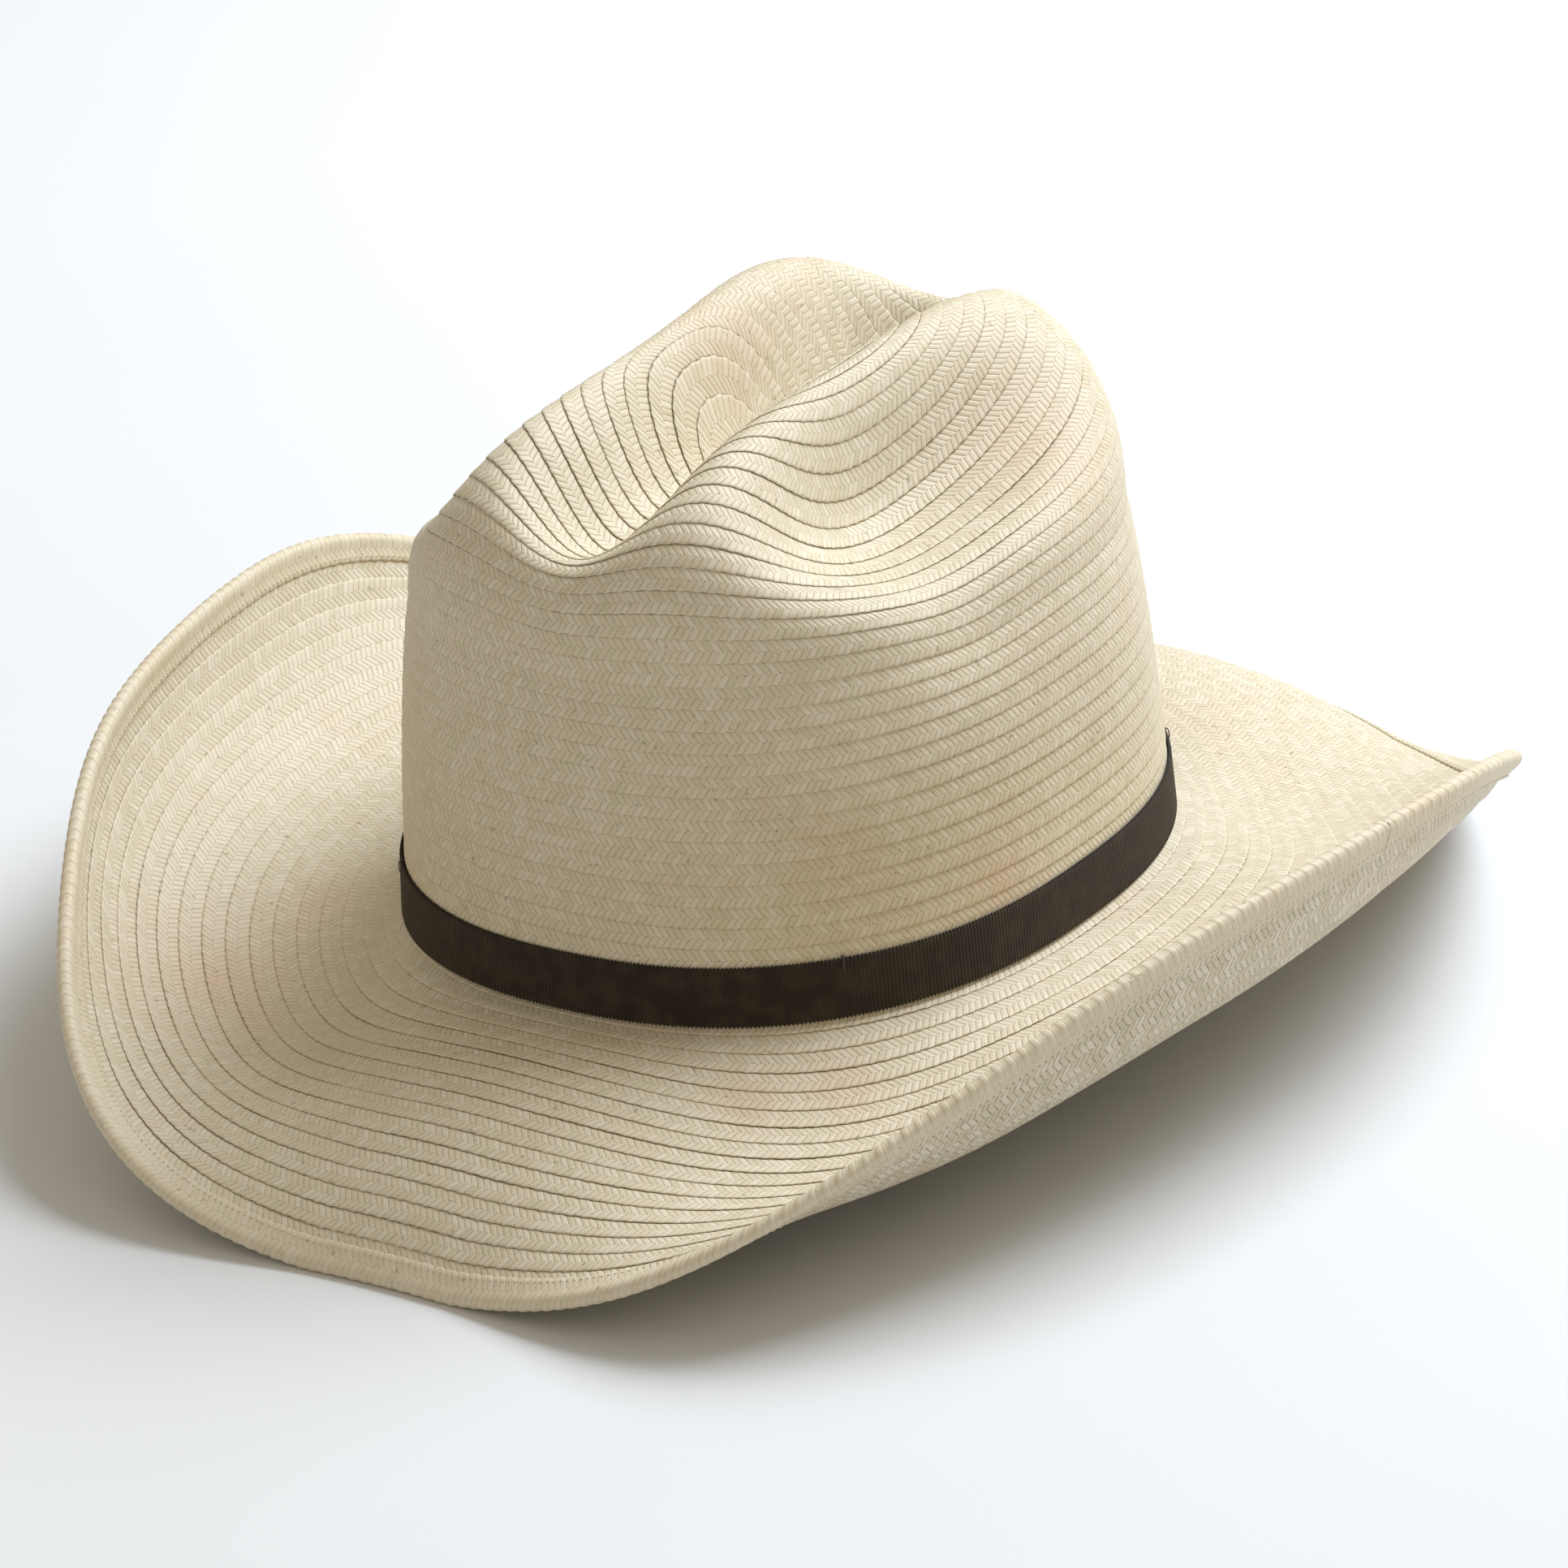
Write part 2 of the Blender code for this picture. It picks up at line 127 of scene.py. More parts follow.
# The plait: length of one strand's float and how far it slants, in floats, across half a row.
# Every second float ends in a loop at the edge, which lifts the strip and scallops its lip.
PLAIT_PITCH = 0.0019
PLAIT_SLANT = 1.9
LOOP_PITCH = 2.0 * PLAIT_PITCH
LOOP_SLANT = PLAIT_SLANT / 2.0
LOOP_RELIEF = 0.00007
LOOP_MEAN = 0.6
SCALLOP = 0.045
BRAID_SINK = 0.00035

# Unevenness of the strip by hand: height and lip, each with the length that it changes over
UNEVEN_HEIGHT = (0.00006, 0.021)
UNEVEN_LIP = (0.03, 0.034)

# Across one row, from the part tucked under the row before to the lip: share of the row, height
OUTER_SECTION = (
    (-0.20, -0.00018), (0.015, 0.0), (0.10, 0.00006), (0.25, 0.00014), (0.42, 0.00021),
    (0.60, 0.00028), (0.77, 0.00034), (0.90, 0.00036), (0.975, 0.00032), (1.0, 0.00018),
    (0.985, 0.00002),
)
INNER_SECTION = (
    (-0.20, -0.00018), (0.02, 0.0), (0.22, 0.00016), (0.48, 0.00032), (0.74, 0.00046),
    (0.94, 0.0005), (1.0, 0.00028), (0.985, 0.00003),
)
OUTER_SPACING = 0.0006
INNER_SPACING = 0.0009
LIP_STARTS = 0.85

# Painted shade in the rows' crevices is darkest round this angle of the brim, within this spread, and
# nowhere less than this
DARKEST_SHADE_AT = 290.0
SHADE_SPREAD = 62.0
LEAST_SHADE = 0.25

NOISE_KNOTS = 997


def smooth_step(low, high, value):
    t = np.clip((value - low) / (high - low), 0.0, 1.0)
    return t * t * (3.0 - 2.0 * t)


def signed_power(value, power):
    return np.sign(value) * np.abs(value) ** power


def wander(value, seed):
    """Smooth noise of about -1 to 1 along value, which changes over a distance of about 1."""
    knots = np.random.default_rng(seed).uniform(-1.0, 1.0, NOISE_KNOTS)
    cell = np.floor(value).astype(int)
    blend = smooth_step(0.0, 1.0, value - cell)
    return knots[cell % NOISE_KNOTS] * (1.0 - blend) + knots[(cell + 1) % NOISE_KNOTS] * blend


# ---------------------------------------------------------------- the hat's surfaces


def wall_point(theta, height, offset=0.0):
    """Point on the crown's wall, moved outwards by offset; theta is 0 at +X, 90 at the back."""
    angle = np.radians(theta)
    cos, sin = np.cos(angle), np.sin(angle)
    power = 2.0 / HEAD_SQUARENESS
    x = HEAD_HALF_WIDTH * signed_power(cos, power)
    y = HEAD_HALF_LENGTH * signed_power(sin, power)
    normal_x = signed_power(cos, 2.0 - power) / HEAD_HALF_WIDTH
    normal_y = signed_power(sin, 2.0 - power) / HEAD_HALF_LENGTH
    length = np.hypot(normal_x, normal_y)
    out = offset - WALL_TAPER * height - WALL_CURVE * height**3
    return np.stack([x + normal_x / length * out, y + normal_y / length * out, height + 0 * x], -1)


def dent(points, blank, shape):
    """Push the points in and down round a centre of the blank crown, alike on both sides."""
    depth, centre, reach = shape
    away = ((np.abs(blank[..., 0]) - centre[0]) / reach[0]) ** 2
    away = away + ((blank[..., 1] - centre[1]) / reach[1]) ** 2
    away = away + ((blank[..., 2] - centre[2]) / reach[2]) ** 2
    push = depth * np.exp(-away)
    points[..., 0] -= np.sign(blank[..., 0]) * push * DENT_INWARD
    points[..., 2] -= push * DENT_DOWN


def crease(blank):
    """Press the centre crease and the side dents into the blank crown."""
    points = blank.copy()
    y = blank[..., 1]
    along = y / CREASE_SPAN
    top = smooth_step(*CREASE_STARTS, blank[..., 2])
    ends = smooth_step(*CREASE_FRONT, y) * (1.0 - smooth_step(*CREASE_BACK, y))
    width = CREASE_HALF_WIDTH - CREASE_NARROWS * along
    depth = (CREASE_DEPTH + CREASE_DEEPENS * along) * ends
    points[..., 2] -= top * TOP_BOW * (1.0 - along**2)
    points[..., 2] -= top * depth * np.exp(-((blank[..., 0] / width) ** 2))
    dent(points, blank, SIDE_DENT)
    dent(points, blank, FRONT_PINCH)
    return points


def crown_profile():
    """The blank's profile from the tip down to the wall: arc length, share of radius, height."""
    turn = np.linspace(90.0, 0.0, PROFILE_STEPS)
    share = np.cos(np.radians(turn)) ** (2.0 / DOME_SQUARENESS)
    share[0] = 0.0
    rise = np.sin(np.radians(turn)) ** (2.0 / DOME_SQUARENESS)
    height = WALL_TOP + (CROWN_HEIGHT - WALL_TOP) * rise
    radius = share * (HEAD_HALF_LENGTH + HEAD_HALF_WIDTH) / 2.0
    step = np.hypot(np.diff(radius), np.diff(height))
    return np.concatenate([[0.0], np.cumsum(step)]), share, height


PROFILE_ARC, PROFILE_SHARE, PROFILE_HEIGHT = crown_profile()


def crown_row_point(theta, row):
    """Point of the creased crown at a row number, counted from the tip down to the brim line."""
    arc = np.clip(row / TOP_ROWS, 0.0, 1.0) * PROFILE_ARC[-1]
    height = WALL_TOP * np.clip(1.0 - (row - TOP_ROWS) / WALL_ROWS, 0.0, 1.0)
    blank = wall_point(theta, height)
    blank[..., :2] *= np.interp(arc, PROFILE_ARC, PROFILE_SHARE)[..., None]
    blank[..., 2] += np.interp(arc, PROFILE_ARC, PROFILE_HEIGHT) - WALL_TOP
    return crease(blank)


def crown_face(theta, row, above):
    """crown_row_point moved outwards along the surface's normal."""
    row = np.clip(row, TIP_ROW, CROWN_ROWS)
    turn, step = 0.4, 0.04
    down = crown_row_point(theta, row + step) - crown_row_point(theta, row - step)
    round_ = crown_row_point(theta + turn, row) - crown_row_point(theta - turn, row)
    normal = np.cross(down, round_)
    normal /= np.linalg.norm(normal, axis=-1, keepdims=True)
    return crown_row_point(theta, row) + normal * above[..., None]


def brim_station(values, theta):
    """Smooth even curve round the brim through the stations, front first."""
    count = len(values) - 1
    from_front = np.radians(np.asarray(theta) + 90.0)
    weight = [0.5 if i in (0, count) else 1.0 for i in range(count + 1)]
    total = 0.0
    for k in range(count + 1):
        terms = [
            weight[i] * values[i] * math.cos(math.pi * k * i / count) for i in range(count + 1)
        ]
        total = total + weight[k] * 2.0 / count * sum(terms) * np.cos(k * from_front)
    return total


def section_point(theta, distance, above=0.0):
    """Point at a distance from the crown along the brim's top face, moved along its normal."""
    width = brim_station(BRIM_WIDTH, theta)
    step = distance / SECTION_STEPS
    inner = np.radians(brim_station(BRIM_INNER_SLOPE, theta))
    turn = np.radians(brim_station(BRIM_EDGE_SLOPE, theta)) - inner
    out, up = 0.0, 0.0
    for k in range(SECTION_STEPS):
        slope = inner + turn * ((k + 0.5) * step / width) ** BRIM_ROLL_POWER
        out = out + np.cos(slope) * step
        up = up + np.sin(slope) * step
    slope = inner + turn * (distance / width) ** BRIM_ROLL_POWER
    point = wall_point(theta, 0.0, out - np.sin(slope) * above)
    point[..., 2] = up + np.cos(slope) * above
    return point


def low_corners(theta):
    """The edge row's two lowest corners, before its low stretches are levelled."""
    width = brim_station(BRIM_WIDTH, theta)
    corner = section_point(theta, width - EDGE_ROW_CORNER, -BRIM_THICKNESS - GAP - EDGE_ROW_WALL)
    return np.stack([corner, section_point(theta, width, -BRIM_THICKNESS)])


def tipped_height(points, tip):
    return points[..., 1] * math.sin(tip) + points[..., 2] * math.cos(tip)


def seat():
    """Tip, shift and lift that stand the brim's low front and back on the world's z = 0."""
    theta = np.arange(0.0, 360.0, 0.5)
    low = low_corners(theta).reshape(-1, 3)
    tip = 0.0
    for _ in range(SEAT_ROUNDS):
        height = tipped_height(low, tip)
        front = low[np.argmin(np.where(low[:, 1] < 0.0, height, 1.0))]
        back = low[np.argmin(np.where(low[:, 1] > 0.0, height, 1.0))]
        tip = math.atan2(front[2] - back[2], back[1] - front[1])
    lift = -tipped_height(low, tip).min() - SEAT_PRESS
    width = brim_station(BRIM_WIDTH, theta)
    rim = np.concatenate([section_point(theta, width), section_point(theta, width, -BRIM_THICKNESS)])
    across = rim[:, 1] * math.cos(tip) - rim[:, 2] * math.sin(tip)
    return tip, -(across.min() + across.max()) / 2.0, lift


SEAT_TIP, SEAT_SHIFT, SEAT_LIFT = seat()


def levelling(theta):
    """Drop of the brim's edge that makes its lowest stretches level, and fades out above them."""
    degrees = np.arange(0.0, 360.5, 0.5)
    above = tipped_height(low_corners(degrees), SEAT_TIP).min(axis=0) + SEAT_LIFT + SEAT_PRESS
    fading = LEVEL_DEPTH * np.exp(-(above - LEVEL_DEPTH) / (3.0 * LEVEL_DEPTH))
    return np.interp(np.mod(theta, 360.0), degrees, np.where(above < LEVEL_DEPTH, above, fading))


def brim_point(theta, distance, above=0.0):
    """section_point with the brim's lowest stretches pressed level."""
    share = distance / brim_station(BRIM_WIDTH, theta)
    point = section_point(theta, distance, above)
    point[..., 2] -= levelling(theta) * share**2
    return point


def brim_row_point(theta, row, above):
    """Point of the brim at a row number; the outermost row ends just under the edge row."""
    reach = brim_station(BRIM_WIDTH, theta) - EDGE_ROW_WIDTH + UNDER_EDGE_ROW
    share = np.clip((row - CROWN_ROWS) / BRIM_ROWS, 0.0, 1.0)
    return brim_point(theta, reach * share, above)


def hat_point(theta, row, above):
    """Point at a row number anywhere on the hat, moved along the outer face's normal."""
    points = np.empty(row.shape + (3,))
    crown = row < CROWN_ROWS
    points[crown] = crown_face(theta[crown], row[crown], above[crown])
    points[~crown] = brim_row_point(theta[~crown], row[~crown], above[~crown])
    return points


def seated(points):
    """Points of the hat's frame in the world, where nothing goes below the resting surface."""
    cos, sin = math.cos(SEAT_TIP), math.sin(SEAT_TIP)
    x, y, z = points[..., 0], points[..., 1], points[..., 2]
    height = y * sin + z * cos + SEAT_LIFT
    return np.stack([x, y * cos - z * sin + SEAT_SHIFT, np.maximum(height, 0.0)], -1)


# ---------------------------------------------------------------- pieces


def add_piece(name, data, material, replaced):
    """Add a visible piece that rides on the hat's one body and stands for the replaced nodes."""
    piece = bpy.data.objects.new(name, data)
    bpy.context.scene.collection.objects.link(piece)
    data.materials.append(material)
    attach(piece, "root")
    if replaced:
        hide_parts(*replaced)
    return piece


def grid_mesh(name, points, closed=False, **attributes):
    """Mesh of quads through a grid of points of shape (stations, across, 3)."""
    stations, across = points.shape[:2]
    index = np.arange(stations * across).reshape(stations, across)
    near, far = (index, np.roll(index, -1, axis=0)) if closed else (index[:-1], index[1:])
    corners = [near[:, :-1], far[:, :-1], far[:, 1:], near[:, 1:]]
    quads = np.stack(corners, -1).reshape(-1, 4)
    mesh = bpy.data.meshes.new(name)
    mesh.vertices.add(points.size // 3)
    mesh.vertices.foreach_set("co", seated(points).astype(np.float32).ravel())
    mesh.loops.add(quads.size)
    mesh.loops.foreach_set("vertex_index", quads.astype(np.int32).ravel())
    mesh.polygons.add(len(quads))
    mesh.polygons.foreach_set("loop_start", np.arange(0, quads.size, 4, dtype=np.int32))
    mesh.update(calc_edges=True)
    mesh.validate()
    mesh.shade_smooth()
    for key, values in attributes.items():
        layer = mesh.attributes.new(key, "FLOAT", "POINT")
        full = np.broadcast_to(values, (stations, across))
        layer.data.foreach_set("value", full.astype(np.float32).ravel())
    return mesh


# ---------------------------------------------------------------- materials


class Look:
    """A material whose nodes are wired by short calls."""

    def __init__(self, name, roughness=0.6, metallic=0.0, sheen=0.0, specular=0.5):
        self.material = bpy.data.materials.new(name)
        self.material.use_nodes = True
        self.tree = self.material.node_tree
        self.shader = self.tree.nodes["Principled BSDF"]
        self.shader.inputs["Roughness"].default_value = roughness
        self.shader.inputs["Metallic"].default_value = metallic
        self.shader.inputs["Sheen Weight"].default_value = sheen
        self.shader.inputs["Specular IOR Level"].default_value = specular

    def connect(self, source, target):
        if isinstance(source, (int, float)):
            target.default_value = source
        elif isinstance(source, (tuple, list)):
            target.default_value = (*source, 1.0)[: len(target.default_value)]
        else:
            self.tree.links.new(source, target)

    def node(self, kind, inputs=(), **settings):
        made = self.tree.nodes.new(kind)
        for key, value in settings.items():
            setattr(made, key, value)
        for key, value in dict(inputs).items():
            self.connect(value, made.inputs[key])
        return made

    def attribute(self, name):
        return self.node("ShaderNodeAttribute", attribute_name=name).outputs["Fac"]

    def math(self, operation, *values, clamp=False):
        made = self.node("ShaderNodeMath", enumerate(values), operation=operation, use_clamp=clamp)
        return made.outputs[0]

    def vector(self, x, y, z):
        return self.node("ShaderNodeCombineXYZ", {"X": x, "Y": y, "Z": z}).outputs[0]

    def place(self):
        return self.node("ShaderNodeTexCoord").outputs["Object"]

    def noise(self, vector, scale, detail=2.0, roughness=0.5):
        inputs = {"Vector": vector, "Scale": scale, "Detail": detail, "Roughness": roughness}
        return self.node("ShaderNodeTexNoise", inputs).outputs["Fac"]

    def random(self, vector):
        return self.node("ShaderNodeTexWhiteNoise", {"Vector": vector}).outputs["Value"]

    def fit(self, value, low, high, to_low=0.0, to_high=1.0):
        """Smooth ramp from to_low at the value low to to_high at the value high."""
        inputs = {"Value": value, "From Min": low, "From Max": high, "To Min": to_low, "To Max": to_high}
        ramp = self.node("ShaderNodeMapRange", inputs, interpolation_type="SMOOTHSTEP")
        return ramp.outputs["Result"]

    def mix(self, factor, first, second):
        made = self.node("ShaderNodeMix", data_type="RGBA")
        for socket, value in zip((0, 6, 7), (factor, first, second)):
            self.connect(value, made.inputs[socket])
        return made.outputs[2]

    def bump(self, height, distance, strength):
        inputs = {"Height": height, "Distance": distance, "Strength": strength}
        return self.node("ShaderNodeBump", inputs).outputs["Normal"]

    def finish(self, colour, normal=None, roughness=None):
        self.connect(colour, self.shader.inputs["Base Color"])
        if normal is not None:
            self.connect(normal, self.shader.inputs["Normal"])
        if roughness is not None:
            self.connect(roughness, self.shader.inputs["Roughness"])
        return self.material


# Palm leaf: most strands, paler, greener and tanned ones, and a dark colour for flecks, strand seams and
# the painted shade under each row's lip
STRAW = (0.67, 0.585, 0.415)
STRAW_PALE = (0.78, 0.72, 0.58)
STRAW_GREEN = (0.57, 0.53, 0.35)
STRAW_TAN = (0.66, 0.47, 0.32)
DARK_FLECK_AND_SHADE = (0.20, 0.15, 0.075)


def palm_braid(name="palm_braid", contrast=1.0):
    """Plaited palm leaf: V-shaped floats with fine fibres, each strand a slightly other colour."""
    look = Look(name, roughness=0.55, specular=0.4)
    across = look.attribute("across")
    floats = look.math("DIVIDE", look.attribute("along"), PLAIT_PITCH)
    side = look.math("GREATER_THAN", across, 0.5)
    half = look.math("ABSOLUTE", look.math("SUBTRACT", across, 0.5))
    phase = look.math("MULTIPLY_ADD", half, PLAIT_SLANT, floats)
    phase = look.math("MULTIPLY_ADD", side, 0.5, phase)
    strand = look.math("FLOOR", phase)
    within = look.math("FRACT", phase)
    edge = look.math("ABSOLUTE", look.math("MULTIPLY_ADD", within, 2.0, -1.0))
    place = look.place()
    broken = look.fit(look.noise(place, 750.0, 2.0), 0.40, 0.62, 0.3, 1.0)
    seam = look.math("MULTIPLY", look.fit(edge, 0.70, 0.98), broken)
    own = look.random(look.vector(strand, side, 0.37))
    other = look.random(look.vector(strand, side, 7.91))
    fibre_at = look.vector(look.math("MULTIPLY", within, 15.0), look.math("MULTIPLY", half, 3.0), strand)
    fibre = look.noise(fibre_at, 1.0, 3.0, 0.6)
    # Painted shade: darker where the strip tucks under the lip of the row before, scaled by the per-vertex
    # shade amount
    crevice_shade_mask = look.math("MULTIPLY", look.fit(across, 0.0, 0.075, 1.0, 0.0), look.attribute("open"))
    crevice_shade_mask = look.math("MULTIPLY", crevice_shade_mask, look.fit(broken, 0.3, 1.0, 0.6, 1.0))
    spine = look.math("MULTIPLY", look.fit(half, 0.0, 0.07, 1.0, 0.0), seam)

    colour = look.mix(look.fit(own, 0.25, 1.0, 0.0, 0.5 * contrast), STRAW, STRAW_PALE)
    colour = look.mix(look.fit(other, 0.62, 1.0, 0.0, 0.45 * contrast), colour, STRAW_GREEN)
    warm = look.fit(look.noise(place, 26.0, 3.0), 0.52, 0.78, 0.0, 0.35)
    colour = look.mix(warm, colour, STRAW_TAN)
    # Tan patches; the one in the near side dent is partly painted shade
    colour = look.mix(look.attribute("stain"), colour, STRAW_TAN)
    colour = look.mix(look.fit(fibre, 0.35, 0.75, 0.0, 0.22), colour, STRAW_TAN)
    fleck = look.fit(look.noise(place, 520.0, 1.0), 0.70, 0.78, 0.0, 0.45)
    colour = look.mix(fleck, colour, DARK_FLECK_AND_SHADE)
    colour = look.mix(look.math("MULTIPLY", seam, 0.42 * contrast), colour, DARK_FLECK_AND_SHADE)
    colour = look.mix(look.math("MULTIPLY", spine, 0.6 * contrast), colour, DARK_FLECK_AND_SHADE)
    # Painted shade in the crevice under each row's lip
    colour = look.mix(look.math("MULTIPLY", crevice_shade_mask, 0.9), colour, DARK_FLECK_AND_SHADE)

    rounded = look.math("SUBTRACT", 1.0, look.math("POWER", edge, 3.0))
    height = look.math("MULTIPLY_ADD", fibre, 0.25, rounded)
    normal = look.bump(height, 0.00016 * contrast, 0.9)
    roughness = look.fit(own, 0.0, 1.0, 0.46, 0.62)
    return look.finish(colour, normal, roughness)


BROWN_THREAD = (0.020, 0.011, 0.005)
GREY_THREAD = (0.052, 0.037, 0.022)


def grosgrain():
    """Ribbed ribbon: the ribs are geometry, and the nodes add the yarns that cross them."""
    look = Look("grosgrain", roughness=0.6, sheen=0.12, specular=0.25)
    look.shader.inputs["Sheen Tint"].default_value = (0.9, 0.74, 0.52, 1.0)
    up = look.math("MULTIPLY", look.attribute("across"), RIBBON_YARNS)
    along = look.math("DIVIDE", look.attribute("along"), RIB_PITCH)
    shift = look.math("MULTIPLY", look.math("FLOOR", along), 0.5)
    yarn = look.math("SINE", look.math("MULTIPLY", look.math("ADD", up, shift), 2.0 * math.pi))
    patch = look.noise(look.place(), 180.0, 4.0)
    colour = look.mix(look.fit(patch, 0.35, 0.75), BROWN_THREAD, GREY_THREAD)
    colour = look.mix(look.fit(yarn, -1.0, 1.0, 0.35, 0.0), colour, (0.01, 0.007, 0.005))
    normal = look.bump(yarn, 0.00006, 0.7)
    return look.finish(colour, normal, look.fit(patch, 0.2, 0.8, 0.5, 0.72))


def thread(name, light, dark):
    """Twisted sewing thread."""
    look = Look(name, roughness=0.7, sheen=0.3)
    fuzz = look.noise(look.place(), 1800.0, 4.0)
    colour = look.mix(look.fit(fuzz, 0.3, 0.7), dark, light)
    return look.finish(colour, look.bump(fuzz, 0.0001, 0.8))


def leather():
    """Smooth tan leather: fine grain, cloudy tone and a worn upper edge."""
    look = Look("sweatband_leather", roughness=0.5, specular=0.45)
    place = look.place()
    cells = look.node("ShaderNodeTexVoronoi", {"Vector": place, "Scale": 900.0}, feature="DISTANCE_TO_EDGE")
    grain = look.fit(cells.outputs["Distance"], 0.0, 0.16)
    tone = look.noise(place, 38.0, 5.0)
    colour = look.mix(look.fit(tone, 0.3, 0.7), (0.27, 0.135, 0.06), (0.44, 0.25, 0.125))
    colour = look.mix(look.math("SUBTRACT", 1.0, grain, clamp=True), colour, (0.13, 0.06, 0.03))
    worn = look.fit(look.attribute("across"), 0.93, 1.0, 0.0, 0.5)
    colour = look.mix(worn, colour, (0.55, 0.37, 0.22))
    normal = look.bump(grain, 0.00012, 0.6)
    return look.finish(colour, normal, look.fit(tone, 0.2, 0.8, 0.42, 0.62))


def woven(name, light, dark, yarns=1500.0):
    """Plain weave of fine yarns."""
    look = Look(name, roughness=0.85, sheen=0.2)
    place = look.node("ShaderNodeSeparateXYZ", {"Vector": look.place()}).outputs
    round_ = look.math("SINE", look.math("MULTIPLY", look.math("ADD", place[0], place[1]), yarns * 2.0))
    up = look.math("SINE", look.math("MULTIPLY", place[2], yarns * 2.4))
    weave = look.math("MULTIPLY", round_, up)
    blotch = look.noise(look.place(), 60.0, 4.0)
    colour = look.mix(look.fit(blotch, 0.3, 0.7), light, dark)
    colour = look.mix(look.fit(weave, -1.0, 1.0, 0.3, 0.0), colour, dark)
    return look.finish(colour, look.bump(weave, 0.00008, 0.7))


def metal(name, bright, dull, roughness):
    """Drawn wire: streaks and a slight stain."""
    look = Look(name, roughness=roughness, metallic=1.0)
    streak = look.noise(look.place(), 700.0, 5.0)
    colour = look.mix(look.fit(streak, 0.3, 0.7), bright, dull)
    worn = look.fit(streak, 0.2, 0.8, roughness - 0.08, roughness + 0.15)
    return look.finish(colour, look.bump(streak, 0.00004, 0.5), worn)


def milky_plastic():
    """Hazy plastic of the reed."""
    look = Look("clear_reed", roughness=0.35)
    haze = look.noise(look.place(), 150.0, 4.0)
    colour = look.mix(look.fit(haze, 0.3, 0.7), (0.78, 0.76, 0.70), (0.66, 0.63, 0.56))
    return look.finish(colour, look.bump(haze, 0.00005, 0.4), look.fit(haze, 0.2, 0.8, 0.28, 0.5))


# ---------------------------------------------------------------- the braided crown and brim

# Tan patches, as the sun and handling leave them, and one in the near side dent that is partly a stain and
# partly painted shade in the hollow: centre in the hat's frame, radius, strength
STAINS_AND_DENT_SHADE = (
    ((-0.110, -0.104, -0.013), 0.021, 0.75),
    ((-0.104, -0.064, -0.006), 0.012, 0.5),
    ((0.060, -0.111, -0.009), 0.008, 0.75),
    ((0.076, -0.093, -0.009), 0.009, 0.6),
    ((-0.018, 0.013, 0.133), 0.018, 0.35),
    # Near side dent: partly a stain, partly painted shade in the hollow
    ((0.060, 0.032, 0.113), 0.024, 0.35),
    ((0.087, -0.033, 0.023), 0.013, 0.5),
)


def dent_shade_and_stain_at(points):
    """Strength of the tan patches, and of the painted shade in the near side dent, from 0 to 1."""
    total = 0.0
    for number, (centre, radius, strength) in enumerate(STAINS_AND_DENT_SHADE):
        away = np.linalg.norm(points - np.array(centre), axis=-1) / radius
        total = total + strength * np.exp(-(away**2)) * (1.0 + 0.3 * wander(away * 3.0, number))
    return np.clip(total, 0.0, 1.0)


def spiral(spacing):
    """Turns and lengths of the braid's stations, evenly spaced along the middle of the strip."""
    turns = np.arange(-1.0, ALL_ROWS, 1.0 / STEPS_PER_TURN)
    rows = np.clip(turns + 0.5, STRIP_TIP_ROW, ALL_ROWS)
    middle = hat_point(turns * 360.0, rows, np.zeros_like(rows))
    length = np.concatenate([[0.0], np.cumsum(np.linalg.norm(np.diff(middle, axis=0), axis=-1))])
    along = np.linspace(0.0, length[-1], round(length[-1] / spacing))
    return np.interp(along, length, turns), along


def shade_strength_round_hat(theta, rows):
    """How dark the painted shade in the braid's crevices is: most over the crown's top and on the front
    half of the brim.
    """
    top = 1.0 - smooth_step(TOP_ROWS - 5.0, TOP_ROWS, rows)
    around = np.mod(theta - DARKEST_SHADE_AT + 180.0, 360.0) - 180.0
    brim = smooth_step(CROWN_ROWS + 1.0, CROWN_ROWS + 3.0, rows)
    brim = brim * np.exp(-((around / SHADE_SPREAD) ** 2))
    return LEAST_SHADE + (1.0 - LEAST_SHADE) * np.maximum(top, brim)


def loops(along, share):
    """How far the plait's loops stand above (+) or below (-) their mean, at a share of the row."""
    side = np.where(share > 0.5, 0.5, 0.0)
    phase = along / LOOP_PITCH + LOOP_SLANT * np.abs(share - 0.5) + side
    return np.abs(np.sin(np.pi * phase)) - LOOP_MEAN


def braid_strip(turns, along, section, base, sign):
    """Strip of the braid at the stations; sign is 1 on the outer face and -1 on the inner one."""
    share, height = np.array(section).T[:, None, :]
    along = along[:, None]
    bulge = loops(along, share)
    lip = smooth_step(LIP_STARTS, 1.0, share)
    tucked = smooth_step(-0.05, 0.1, share)
    amount, length = UNEVEN_HEIGHT
    relief = LOOP_RELIEF * bulge * tucked + amount * wander(along / length + 3.0 * share, 5)
    amount, length = UNEVEN_LIP
    moved = share + lip * (SCALLOP * bulge + amount * wander(along / length, 8))
    placed = moved if sign > 0 else 1.0 - moved
    rows = np.clip(turns[:, None] + placed, 0.0, ALL_ROWS)
    above = base + sign * (height + relief)
    theta = np.broadcast_to(turns[:, None] * 360.0, rows.shape)
    points = hat_point(theta.ravel(), rows.ravel(), np.broadcast_to(above, rows.shape).ravel())
    # The last value is how dark the painted shade in the rows' crevices is
    return points.reshape(*rows.shape, 3), share, shade_strength_round_hat(theta, rows)


